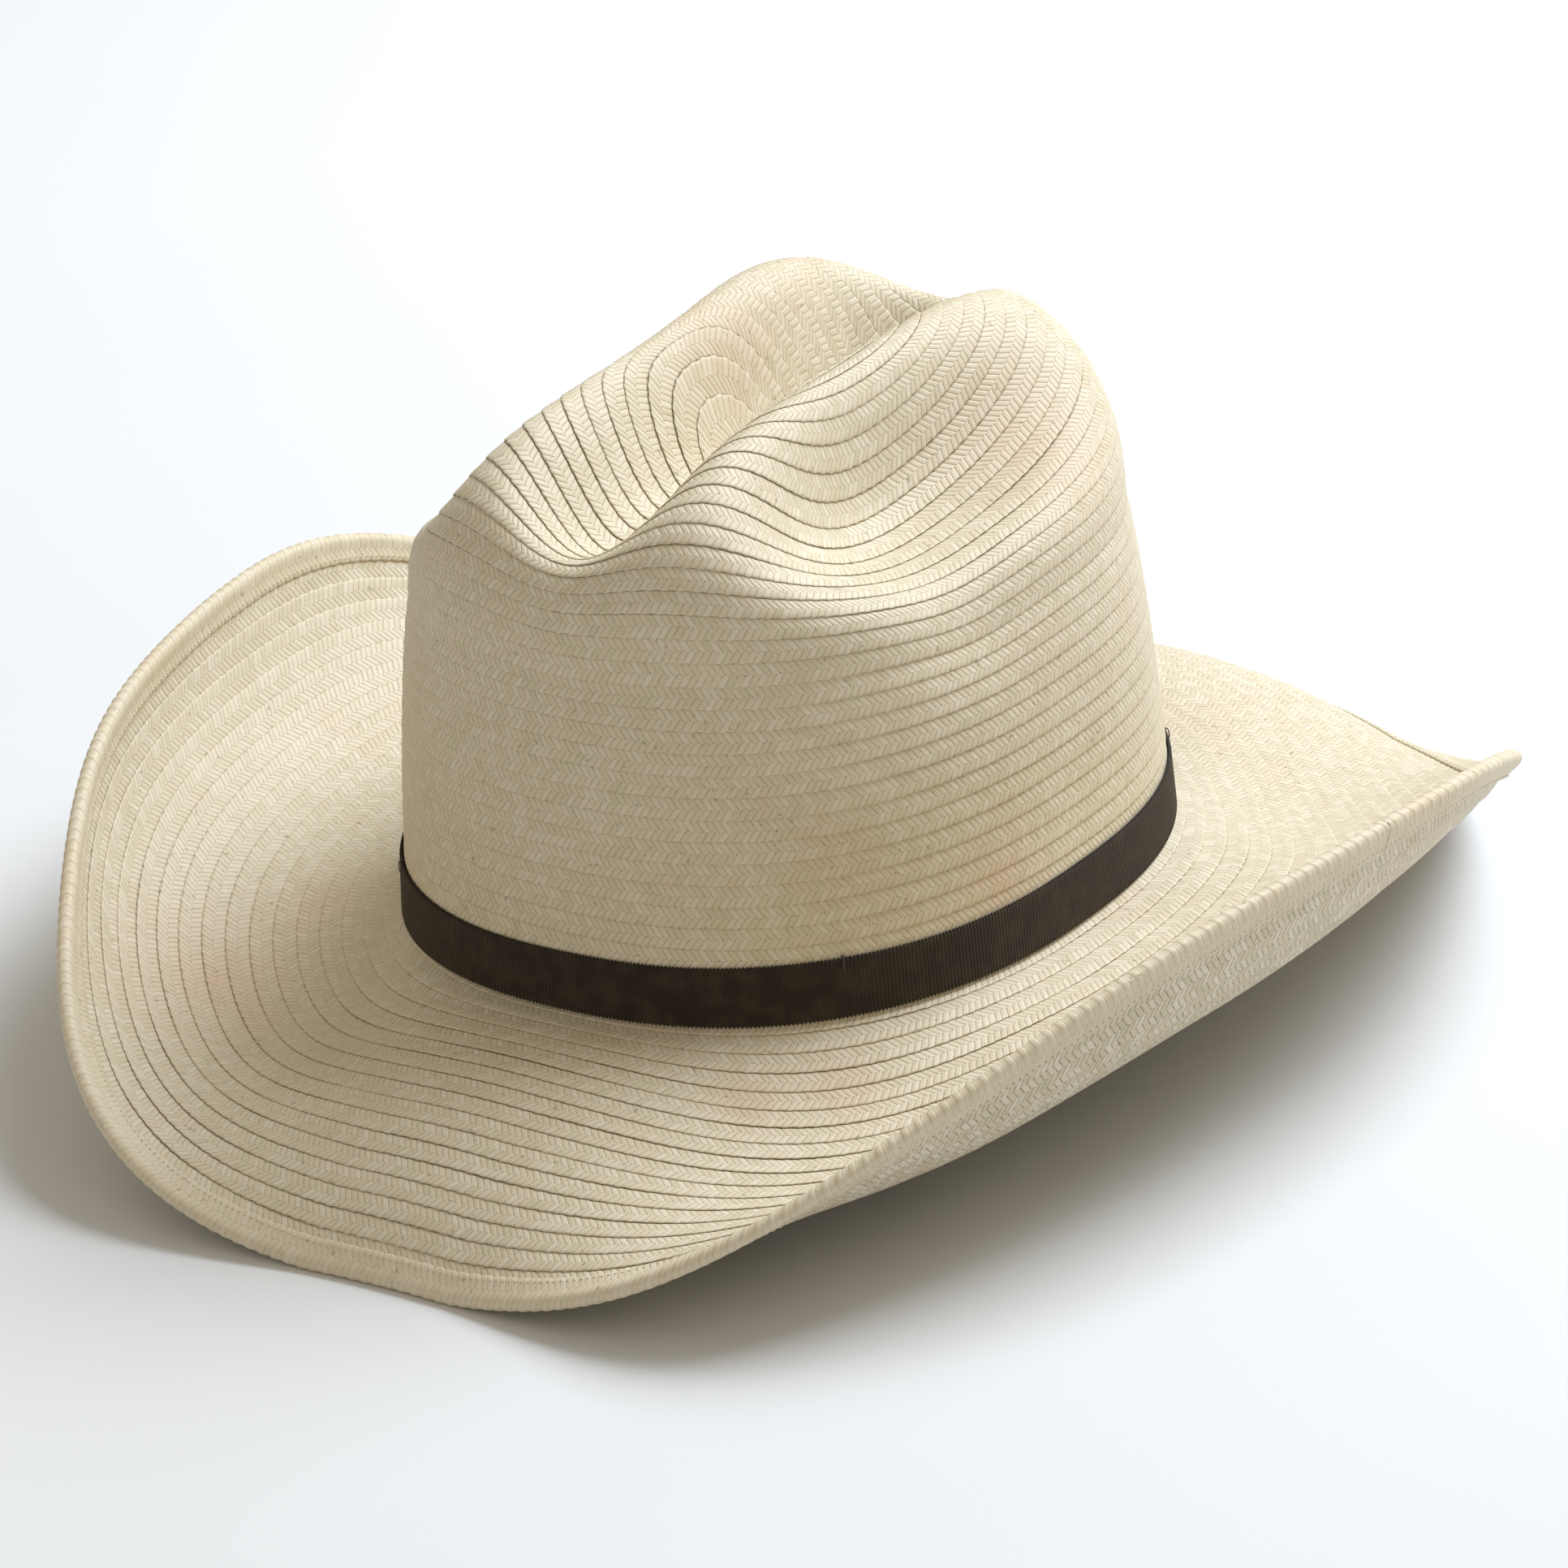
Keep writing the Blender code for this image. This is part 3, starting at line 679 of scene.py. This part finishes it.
def braid_pieces(names, ends, section, spacing, sign, material):
    """The braid in lengths, each from one row number to the next."""
    turns, along = spiral(spacing)
    start = 0
    for name, end in zip(names, ends):
        stop = int(np.searchsorted(turns, end))
        part = slice(start, min(stop + 1, len(turns)))
        start = stop
        on_crown = turns[part, None] + np.array(section)[None, :, 0] < CROWN_ROWS
        thickness = np.where(on_crown, CROWN_THICKNESS, BRIM_THICKNESS)
        base = -BRAID_SINK if sign > 0 else BRAID_SINK - thickness
        # The third value is how dark the painted shade under each row's lip is
        points, share, lip_darkness = braid_strip(turns[part], along[part], section, base, sign)
        mesh = grid_mesh(name, points, along=along[part, None], across=share,
                         stain=dent_shade_and_stain_at(points), open=lip_darkness)
        if sign > 0:
            mesh.flip_normals()
        replaced = ["crown_shell"] if name.startswith("crown") else ["brim_shell"]
        add_piece(name, mesh, material, replaced)


# Contrast of the plait where the leaf is less bleached, and on the pressed edge row
UNDERSIDE_CONTRAST = 1.7
EDGE_CONTRAST = 0.6


def braided_shell():
    """Outer and inner braid, each in lengths; the row numbers are where each length ends."""
    outer = ("crown_braid_top", "crown_braid_upper", "crown_braid_lower",
             "brim_braid_inner", "brim_braid_middle", "brim_braid_outer")
    ends = (TOP_ROWS - 4.6, TOP_ROWS + 5.5, CROWN_ROWS - 0.5,
            CROWN_ROWS + 5.8, CROWN_ROWS + 11.2, ALL_ROWS - 0.1)
    braid_pieces(outer, ends, OUTER_SECTION, OUTER_SPACING, 1.0, palm_braid())
    inner = ("crown_braid_inside_top", "crown_braid_inside_wall",
             "brim_braid_underside_inner", "brim_braid_underside_outer")
    ends = (TOP_ROWS + 2.0, CROWN_ROWS - 0.5, CROWN_ROWS + 8.6, ALL_ROWS - 0.1)
    inner_look = palm_braid("palm_underside", UNDERSIDE_CONTRAST)
    braid_pieces(inner, ends, INNER_SECTION, INNER_SPACING, -1.0, inner_look)


# Edge row: section from its inner edge on the top face, round the brim's edge, to the underside,
# as the distance inside the edge and the height over the brim's top face
EDGE_SECTION = (
    (0.0080, -0.0002), (0.0082, 0.0003), (0.0079, 0.0006), (0.0070, 0.0007), (0.0058, 0.00072),
    (0.0046, 0.0008), (0.0034, 0.00098), (0.0024, 0.00115), (0.0014, 0.0010), (0.0006, 0.0005),
    (0.0001, -0.0003), (0.0000, -0.0012), (0.0003, -0.0021), (0.0009, -0.0028), (0.0018, -0.0030),
    (0.0028, -0.00298), (0.0040, -0.0028), (0.0052, -0.0026), (0.0065, -0.0025), (0.0077, -0.0024),
    (0.0081, -0.0021), (0.0080, -0.0017),
)
EDGE_SPACING = 0.0006
EDGE_SCALLOP = 0.00035
FOLD_SCALLOP = 0.0003
EDGE_SWELL = 0.06
# How dark the painted shade in the edge row's crevices is
EDGE_ROW_SHADE = 0.4
EDGE_ROW_SPAN = 1.8  # rows of plait from one lip to the other


def edge_stations(spacing, inset=0.0):
    """Angles evenly spaced round the brim's edge, and the length up to each."""
    dense = np.linspace(0.0, 360.0, CIRCLE_STEPS)
    rim = brim_point(dense, brim_station(BRIM_WIDTH, dense) - inset)
    length = np.concatenate([[0.0], np.cumsum(np.linalg.norm(np.diff(rim, axis=0), axis=-1))])
    floats = 2 * round(length[-1] / LOOP_PITCH)
    count = round(length[-1] / spacing / floats) * floats
    along = np.linspace(0.0, length[-1], count, endpoint=False)
    return np.interp(along, length, dense), along * floats * PLAIT_PITCH / length[-1]


def edge_row():
    """The last row, folded over the brim's edge, with its two lips on the faces of the brim."""
    theta, along = edge_stations(EDGE_SPACING)
    theta, along = theta[:, None], along[:, None]
    inset, above = np.array(EDGE_SECTION).T[:, None, :]
    girth = np.hypot(np.diff(inset[0]), np.diff(above[0]))
    share = np.concatenate([[0.0], np.cumsum(girth)])[None, :] / girth.sum()
    row = 1.0 - EDGE_ROW_SPAN * np.abs(share - 0.5)
    bulge = loops(along, row)
    outward = smooth_step(0.0, EDGE_ROW_WIDTH / 2.0, EDGE_ROW_WIDTH - inset)
    lip = smooth_step(0.0068, 0.0079, inset)
    fold = 1.0 - smooth_step(0.0005, 0.0022, inset)
    inset = inset + (lip * EDGE_SCALLOP - fold * FOLD_SCALLOP) * bulge
    middle = -BRIM_THICKNESS / 2.0
    above = middle + (above - middle) * (1.0 + EDGE_SWELL * bulge * outward)
    distance = brim_station(BRIM_WIDTH, theta) - inset
    points = brim_point(np.broadcast_to(theta, distance.shape), distance, above)
    mesh = grid_mesh("edge_row_braid", points, closed=True, along=along, across=row,
                     stain=dent_shade_and_stain_at(points), open=EDGE_ROW_SHADE)
    mesh.flip_normals()
    look = palm_braid("palm_edge_row", EDGE_CONTRAST)
    add_piece("edge_row_braid", mesh, look, ["brim_edge_row"])


# ---------------------------------------------------------------- the hatband

# Across the ribbon, from its lower edge up: share of its height, depth below its face
RIBBON_SECTION = (
    (0.0, -RIBBON_THICKNESS), (0.0, -0.0002), (0.03, 0.0), (0.1, 0.0), (0.3, 0.0), (0.5, 0.0),
    (0.7, 0.0), (0.9, 0.0), (0.97, 0.0), (1.0, -0.0002), (1.0, -RIBBON_THICKNESS),
)
RIB_PITCH = 0.00105
RIB_DEPTH = 0.00016
RIB_STEPS = 6
RIB_AT_EDGE = 0.00022
RIBBON_YARNS = 62.0
KEEPER_STEPS = 60

# How far the ribbon's height wavers, and the length that it changes over
UNEVEN_RIBBON = (0.0003, 0.045)


def ribbed_strip(name, angles, bottom, top, face, closed, material, node):
    """Strip of grosgrain: upright ribs, and edges that step in and out with them."""
    dense = wall_point(angles, (bottom + top) / 2.0, face)
    step = np.linalg.norm(np.diff(dense, axis=0), axis=-1)
    length = np.concatenate([[0.0], np.cumsum(step)])
    ribs = round(length[-1] / RIB_PITCH)
    along = np.linspace(0.0, length[-1], ribs * RIB_STEPS, endpoint=not closed)
    theta = np.interp(along, length, angles)[:, None]
    along = (along * ribs * RIB_PITCH / length[-1])[:, None]
    rib = np.cos(2.0 * np.pi * along / RIB_PITCH)
    share, depth = np.array(RIBBON_SECTION).T[:, None, :]
    edge = np.where(share >= 1.0, 1.0, 0.0) - np.where(share <= 0.0, 1.0, 0.0)
    amount, wave = UNEVEN_RIBBON
    height = bottom + (top - bottom) * share + edge * RIB_AT_EDGE * rib
    height = height + amount * wander(along / wave, 21) * (share - 0.2)
    on_face = depth > -RIBBON_THICKNESS
    offset = face + depth + RIB_DEPTH * 0.5 * (rib - 1.0) * on_face
    points = wall_point(np.broadcast_to(theta, height.shape), height, offset)
    mesh = grid_mesh(name, points, closed=closed, along=along, across=share)
    mesh.flip_normals()
    add_piece(name, mesh, material, [node])


def hatband():
    """Ribbon round the crown and the keeper over its join."""
    material = grosgrain()
    top = RIBBON_BOTTOM + RIBBON_HEIGHT
    outer = GAP + RIBBON_THICKNESS
    circle = np.linspace(0.0, 360.0, CIRCLE_STEPS)
    ribbed_strip("ribbon_band", circle, RIBBON_BOTTOM, top, outer, True, material, "hatband_ribbon")
    tab = BACK + np.linspace(-KEEPER_HALF_ANGLE, KEEPER_HALF_ANGLE, KEEPER_STEPS)
    face = outer + GAP + RIBBON_THICKNESS
    ribbed_strip("ribbon_keeper", tab, RIBBON_BOTTOM, top, face, False, material, "hatband_keeper")


# ---------------------------------------------------------------- threads, sweatband and bow


def thread_curve(name, runs, radius, material, replaced, closed=False):
    """Round threads or rods along lists of points of the hat's frame."""
    curve = bpy.data.curves.new(name, "CURVE")
    curve.dimensions = "3D"
    curve.bevel_depth = radius
    curve.bevel_resolution = 2
    curve.use_fill_caps = not closed
    for run in runs:
        points = seated(np.asarray(run))
        spline = curve.splines.new("POLY")
        spline.points.add(len(points) - 1)
        spline.points.foreach_set("co", np.column_stack([points, np.ones(len(points))]).ravel())
        spline.use_cyclic_u = closed
    add_piece(name, curve, material, replaced)


# Leather: shares of its height up its face and, past its top edge, down its back
LEATHER_FACE = (0.0, 0.06, 0.13, 0.3, 0.5, 0.7, 0.86, 0.95, 0.99, 1.0)
LEATHER_BACK = (0.99, 0.9, 0.5, 0.1, 0.0)
SEAM_GROOVE = (0.00022, 0.0012)
LEATHER_RIPPLE = (0.0009, 11.0)

# Seams: length and pitch of the sweatband's stitches, and how far each sags into the leather
STITCH_PITCH = 0.0045
STITCH_LENGTH = 0.0030
STITCH_RISE = 0.0002
STITCH_SAG = (0.00025, 0.0, -0.0001, -0.00012, -0.0001, 0.0, 0.00025)
STITCH_RADIUS = 0.00022

# Edge row's seam: spacing, half a stitch as a share of it, line inside the edge, and rise
EDGE_STITCH_SPACING = 0.003
EDGE_STITCH_HALF = 0.22
EDGE_SEAM_LINE = 0.007
EDGE_SEAM_INSET = 0.0069
EDGE_SEAM_TOP = 0.00068
EDGE_SEAM_UNDER = -0.00248
EDGE_STITCH_RISE = (-0.0002, 0.0001, 0.0001, -0.0002)
EDGE_STITCH_RADIUS = 0.00017


def sweatband():
    """Leather band with its reed and seam, inside the crown."""
    tape_face = -CROWN_THICKNESS - GAP
    face = tape_face - TAPE_THICKNESS - GAP
    theta = np.linspace(0.0, 360.0, 361)[:-1, None]
    share = np.array(LEATHER_FACE + LEATHER_BACK)[None, :]
    height = BAND_BOTTOM + LEATHER_HEIGHT * share
    deep, wide = SEAM_GROOVE
    groove = deep * np.exp(-(((height - STITCH_HEIGHT) / wide) ** 2))
    behind = np.arange(share.size)[None, :] >= len(LEATHER_FACE)
    depth = np.where(behind, 0.0, LEATHER_THICKNESS - groove)
    depth = np.where(share >= 1.0, LEATHER_THICKNESS / 2.0, depth)
    amount, turn = LEATHER_RIPPLE
    ripple = amount * share**3 * (1.0 + wander(theta / turn, 31)) * smooth_step(0.0, 40.0, theta)
    ripple = ripple * (1.0 - smooth_step(320.0, 360.0, theta))
    offset = face - depth - ripple
    points = wall_point(*np.broadcast_arrays(theta, height), offset)
    mesh = grid_mesh("sweatband_leather_skin", points, closed=True, across=share)
    add_piece("sweatband_leather_skin", mesh, leather(), ["sweatband_leather"])

    circle = np.linspace(0.0, 360.0, 361)[:-1]
    reed = wall_point(circle, BAND_BOTTOM - GAP - REED_RADIUS, face - LEATHER_THICKNESS / 2.0)
    thread_curve("reed_rod", [reed], REED_RADIUS, milky_plastic(), ["sweatband_reed"], True)

    tan = thread("tan_thread", (0.74, 0.66, 0.50), (0.50, 0.42, 0.28))
    inner_face = face - LEATHER_THICKNESS
    perimeter = math.pi * (HEAD_HALF_LENGTH + HEAD_HALF_WIDTH)
    runs = []
    for k in range(round(perimeter / STITCH_PITCH)):
        start = 360.0 * k * STITCH_PITCH / perimeter
        angles = start + np.linspace(0.0, 360.0 * STITCH_LENGTH / perimeter, len(STITCH_SAG))
        height = STITCH_HEIGHT + np.linspace(-STITCH_RISE, STITCH_RISE, len(STITCH_SAG))
        runs.append(wall_point(angles, height, inner_face + np.array(STITCH_SAG)))
    thread_curve("sweatband_stitches", runs, STITCH_RADIUS, tan, ["sweatband_stitch"])
    return inner_face, tan


def edge_stitches(tan):
    """Machine stitches that hold the edge row's inner edge, on both faces."""
    theta, _ = edge_stations(EDGE_STITCH_SPACING, EDGE_SEAM_LINE)
    rise = np.array(EDGE_STITCH_RISE)
    spread = np.linspace(-EDGE_STITCH_HALF, EDGE_STITCH_HALF, len(rise)) * 360.0 / len(theta)
    runs = []
    for angle in theta:
        distance = brim_station(BRIM_WIDTH, angle + spread) - EDGE_SEAM_INSET
        runs.append(brim_point(angle + spread, distance, EDGE_SEAM_TOP + rise))
        runs.append(brim_point(angle + spread, distance, EDGE_SEAM_UNDER - rise))
    thread_curve("edge_row_stitches", runs, EDGE_STITCH_RADIUS, tan, ())


# Tack: path of a strand from the crown over the ribbon's upper edge (outwards, up)
TACK_PATH = (
    (0.0001, 0.0007), (0.0006, 0.0009), (0.0013, 0.0006), (0.0016, 0.0), (0.0016, -0.0015),
    (0.0012, -0.0026),
)
TACK_STRAND_ANGLE = 0.16
TACK_RADIUS = 0.00013


def tacks():
    """Thread tacks over the ribbon's upper edge: three strands each."""
    dark = thread("dark_thread", (0.05, 0.036, 0.026), (0.014, 0.009, 0.006))
    top = RIBBON_BOTTOM + RIBBON_HEIGHT
    for number, angle in enumerate(TACK_ANGLES, 1):
        runs = []
        for strand in (-1.0, 0.0, 1.0):
            turn = angle + strand * TACK_STRAND_ANGLE
            runs.append([wall_point(turn, top + rise, out) for out, rise in TACK_PATH])
        replaced = [f"hatband_tack_{number}"]
        thread_curve(f"tack_{number}", runs, TACK_RADIUS, dark, replaced)


# Bow: how high it sits over the seam, and the sizes of its loops, tails and knot
BOW_RISE = 0.006
BOW_LOOP_REACH = 0.0092
BOW_LOOP_HALF_WIDTH = (0.0011, 0.0017)
BOW_TAIL_REACH = (0.0062, -0.0058)
BOW_TAIL_HALF_WIDTH = 0.0012
BOW_KNOT = (0.0015, 0.0009, 0.0017)
SATIN_THICKNESS = 0.00025


def satin():
    """Dark satin with a fine silky grain."""
    look = Look("satin_bow", roughness=0.35, sheen=0.3)
    silk = look.noise(look.place(), 1500.0, 3.0)
    colour = look.mix(look.fit(silk, 0.3, 0.7), (0.035, 0.024, 0.02), (0.09, 0.065, 0.055))
    return look.finish(colour, look.bump(silk, 0.00004, 0.5))


def grid_points(x, y, z):
    """Grid of points from coordinates that vary along it, across it or both ways."""
    return np.stack(np.broadcast_arrays(x, y, z), -1)


def bow_loop(sign, across):
    share = np.linspace(0.0, 1.0, 25)[:, None]
    swell = np.sin(np.pi * share)
    narrow, more = BOW_LOOP_HALF_WIDTH
    x = sign * BOW_LOOP_REACH * swell**0.8
    y = -0.0010 - 0.0008 * np.sin(2.0 * np.pi * share) - 0.0002 * (1.0 - across**2)
    z = across * (narrow + more * swell**2) + 0.0006 * swell
    return grid_points(x, y, z)


def bow_tail(sign, across):
    share = np.linspace(0.0, 1.0, 9)[:, None]
    reach, drop = BOW_TAIL_REACH
    x = sign * (0.0004 + reach * share)
    y = -0.0003 - 0.0003 * np.sin(np.pi * share)
    return grid_points(x, y, drop * share + across * BOW_TAIL_HALF_WIDTH)


def bow_knot(across):
    turn = np.linspace(0.0, 2.0 * np.pi, 17)[:-1, None]
    swell = np.sqrt(1.02 - across**2)
    wide, deep, high = BOW_KNOT
    x = np.cos(turn) * wide * (0.8 + 0.2 * swell)
    y = -0.0011 - np.sin(turn) * deep * swell
    return grid_points(x, y, across * high)


def bow(inner_face):
    """Satin bow at the back of the sweatband: two loops, two tails and a knot."""
    material = satin()
    centre = wall_point(BACK, STITCH_HEIGHT + BOW_RISE, inner_face - 2.0 * GAP)
    across = np.linspace(-1.0, 1.0, 7)[None, :]
    strips = [shape(sign, across) for sign in (-1.0, 1.0) for shape in (bow_loop, bow_tail)]
    for number, strip in enumerate(strips, 1):
        name = f"bow_loop_{number}"
        mesh = grid_mesh(name, strip + centre)
        piece = add_piece(name, mesh, material, ["sweatband_bow"])
        modifier = piece.modifiers.new("thickness", "SOLIDIFY")
        modifier.thickness = SATIN_THICKNESS
        modifier.offset = 0.0
    mesh = grid_mesh("bow_knot", bow_knot(across) + centre, closed=True)
    add_piece("bow_knot", mesh, material, ["sweatband_bow"])


def cad_materials():
    """Materials of the CAD pieces that stay as they are."""
    looks = {
        "brim_wire": metal("steel_wire", (0.62, 0.62, 0.63), (0.42, 0.41, 0.40), 0.32),
        "wire_sleeve": metal("brass_sleeve", (0.66, 0.53, 0.28), (0.45, 0.34, 0.17), 0.38),
        "sweatband_tape": woven("cotton_tape", (0.66, 0.62, 0.54), (0.52, 0.47, 0.38)),
        "size_tag": woven("tag_paper", (0.84, 0.82, 0.76), (0.74, 0.71, 0.63), 2400.0),
    }
    for node, material in looks.items():
        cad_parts[node].material_slots[0].material = material


# ---------------------------------------------------------------- floor, light and camera

CAMERA_DISTANCE = 2.3069
CAMERA_AZIMUTH = 35.0
CAMERA_ELEVATION = 24.23
CAMERA_ROLL = -4.07
CAMERA_LENS = 205.0
AIM_RIGHT = -0.00198
AIM_UP = 0.01802

FLOOR_HALF_SIZE = 6.0
FLOOR_GREYS = (0.77, 0.75)
SKY_COLOUR = (1.0, 0.93, 0.80, 1.0)
SKY_STRENGTH = 0.47
KEY_PLACE = (0.54, 1.26, 1.70)
KEY_TARGET = (0.0, 0.0, 0.08)
KEY_SIZE = 1.3
KEY_POWER = 62.0
KEY_COLOUR = (0.87, 0.95, 1.06)


def world_direction(vector):
    """Direction of the hat's frame in the world."""
    return Matrix.Rotation(SEAT_TIP, 3, "X") @ Vector(vector)


def add_camera():
    """Camera that looks at the hat as the photograph does; its values are in the hat's frame."""
    azimuth, elevation = math.radians(CAMERA_AZIMUTH), math.radians(CAMERA_ELEVATION)
    back = Vector((
        math.sin(azimuth) * math.cos(elevation),
        -math.cos(azimuth) * math.cos(elevation),
        math.sin(elevation),
    ))
    level = Vector((math.cos(azimuth), math.sin(azimuth), 0.0))
    upright = back.cross(level)
    roll = math.radians(CAMERA_ROLL)
    right = level * math.cos(roll) + upright * math.sin(roll)
    up = upright * math.cos(roll) - level * math.sin(roll)
    position = back * CAMERA_DISTANCE
    away = (position - right * AIM_RIGHT - up * AIM_UP).normalized()
    right = (right - away * right.dot(away)).normalized()
    up = away.cross(right)
    axes = [world_direction(axis) for axis in (right, up, away)]
    data = bpy.data.cameras.new("camera")
    data.lens = CAMERA_LENS
    camera = bpy.data.objects.new("camera", data)
    bpy.context.scene.collection.objects.link(camera)
    seat_place = Vector((0.0, SEAT_SHIFT, SEAT_LIFT))
    turned = Matrix(axes).transposed().to_4x4()
    camera.matrix_world = Matrix.Translation(world_direction(position) + seat_place) @ turned
    bpy.context.scene.camera = camera


def add_floor():
    """Plain pale floor, with a tone that hardly varies."""
    mesh = bpy.data.meshes.new("floor")
    half = FLOOR_HALF_SIZE
    corners = [(-half, -half, 0), (half, -half, 0), (half, half, 0), (-half, half, 0)]
    mesh.from_pydata(corners, [], [(0, 1, 2, 3)])
    floor = bpy.data.objects.new("floor", mesh)
    bpy.context.scene.collection.objects.link(floor)
    look = Look("floor", roughness=0.9, specular=0.1)
    tone = look.noise(look.place(), 3.0, 2.0)
    light, dark = [(grey,) * 3 for grey in FLOOR_GREYS]
    mesh.materials.append(look.finish(look.mix(look.fit(tone, 0.3, 0.7), light, dark)))


def add_lights():
    """Soft warm light all round, and one large cool lamp behind the hat."""
    world = bpy.data.worlds.new("studio")
    bpy.context.scene.world = world
    world.use_nodes = True
    sky = world.node_tree.nodes["Background"]
    sky.inputs["Color"].default_value = SKY_COLOUR
    sky.inputs["Strength"].default_value = SKY_STRENGTH

    data = bpy.data.lights.new("key", "AREA")
    data.size = KEY_SIZE
    data.energy = KEY_POWER
    data.color = KEY_COLOUR
    light = bpy.data.objects.new("key", data)
    bpy.context.scene.collection.objects.link(light)
    light.location = KEY_PLACE
    away = Vector(KEY_PLACE) - Vector(KEY_TARGET)
    light.rotation_euler = away.to_track_quat("Z", "Y").to_euler()
    bpy.context.scene.view_settings.view_transform = "Standard"


def main():
    braided_shell()
    edge_row()
    hatband()
    inner_face, tan = sweatband()
    edge_stitches(tan)
    tacks()
    bow(inner_face)
    cad_materials()
    add_floor()
    add_lights()
    add_camera()


main()
